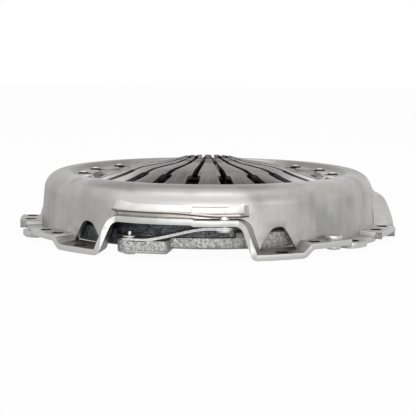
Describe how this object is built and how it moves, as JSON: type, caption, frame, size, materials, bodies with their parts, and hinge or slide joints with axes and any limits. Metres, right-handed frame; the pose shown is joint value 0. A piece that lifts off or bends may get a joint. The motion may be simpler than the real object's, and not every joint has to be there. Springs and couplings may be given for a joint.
{
  "type": "clutch pressure plate",
  "caption": "Clutch cover assembly: pressed steel cover, slotted diaphragm spring on fulcrum wires and a cast pressure plate hung on riveted leaf straps.",
  "frame": {"origin": "on the clutch axis, in the plane of the feet that bolt to the flywheel", "axes": "+Z along the clutch axis from the flywheel towards the release bearing, -Y through the middle of the first strap bridge, +X to its right seen from outside"},
  "size_m": [0.294, 0.2895, 0.057],
  "materials": {
    "cover": "satin phosphated steel sheet",
    "spring_steel": "shot-peened brushed spring steel",
    "wire": "bright drawn wire",
    "stud": "bright steel",
    "iron": "raw cast iron with a ground face",
    "strap": "bright rolled spring steel",
    "rivet": "bright steel"
  },
  "bodies": {
    "cover": {"cover": "cover", "diaphragm_spring": "spring_steel", "fulcrum_wire_upper": "wire", "fulcrum_wire_lower": "wire", "fulcrum_studs": "stud", "balance_rivet": "rivet", "strap_1_leaf_1": "strap", "strap_1_leaf_2": "strap", "strap_1_leaf_3": "strap", "strap_cover_rivet_1": "rivet", "strap_2_leaf_1": "strap", "strap_2_leaf_2": "strap", "strap_2_leaf_3": "strap", "strap_cover_rivet_2": "rivet", "strap_3_leaf_1": "strap", "strap_3_leaf_2": "strap", "strap_3_leaf_3": "strap", "strap_cover_rivet_3": "rivet"},
    "pressure_plate": {"pressure_plate": "iron", "strap_plate_rivet_1": "rivet", "strap_plate_rivet_2": "rivet", "strap_plate_rivet_3": "rivet"}
  },
  "joints": [
    {"name": "plate_lift", "type": "slide", "parent": "cover", "child": "pressure_plate", "axis": [0, 0, 1], "range_m": [0, 0.005], "stiffness_N_per_m": 50000, "deforming": ["diaphragm_spring", "strap_1_leaf_1", "strap_1_leaf_2", "strap_1_leaf_3", "strap_2_leaf_1", "strap_2_leaf_2", "strap_2_leaf_3", "strap_3_leaf_1", "strap_3_leaf_2", "strap_3_leaf_3"]}
  ]
}
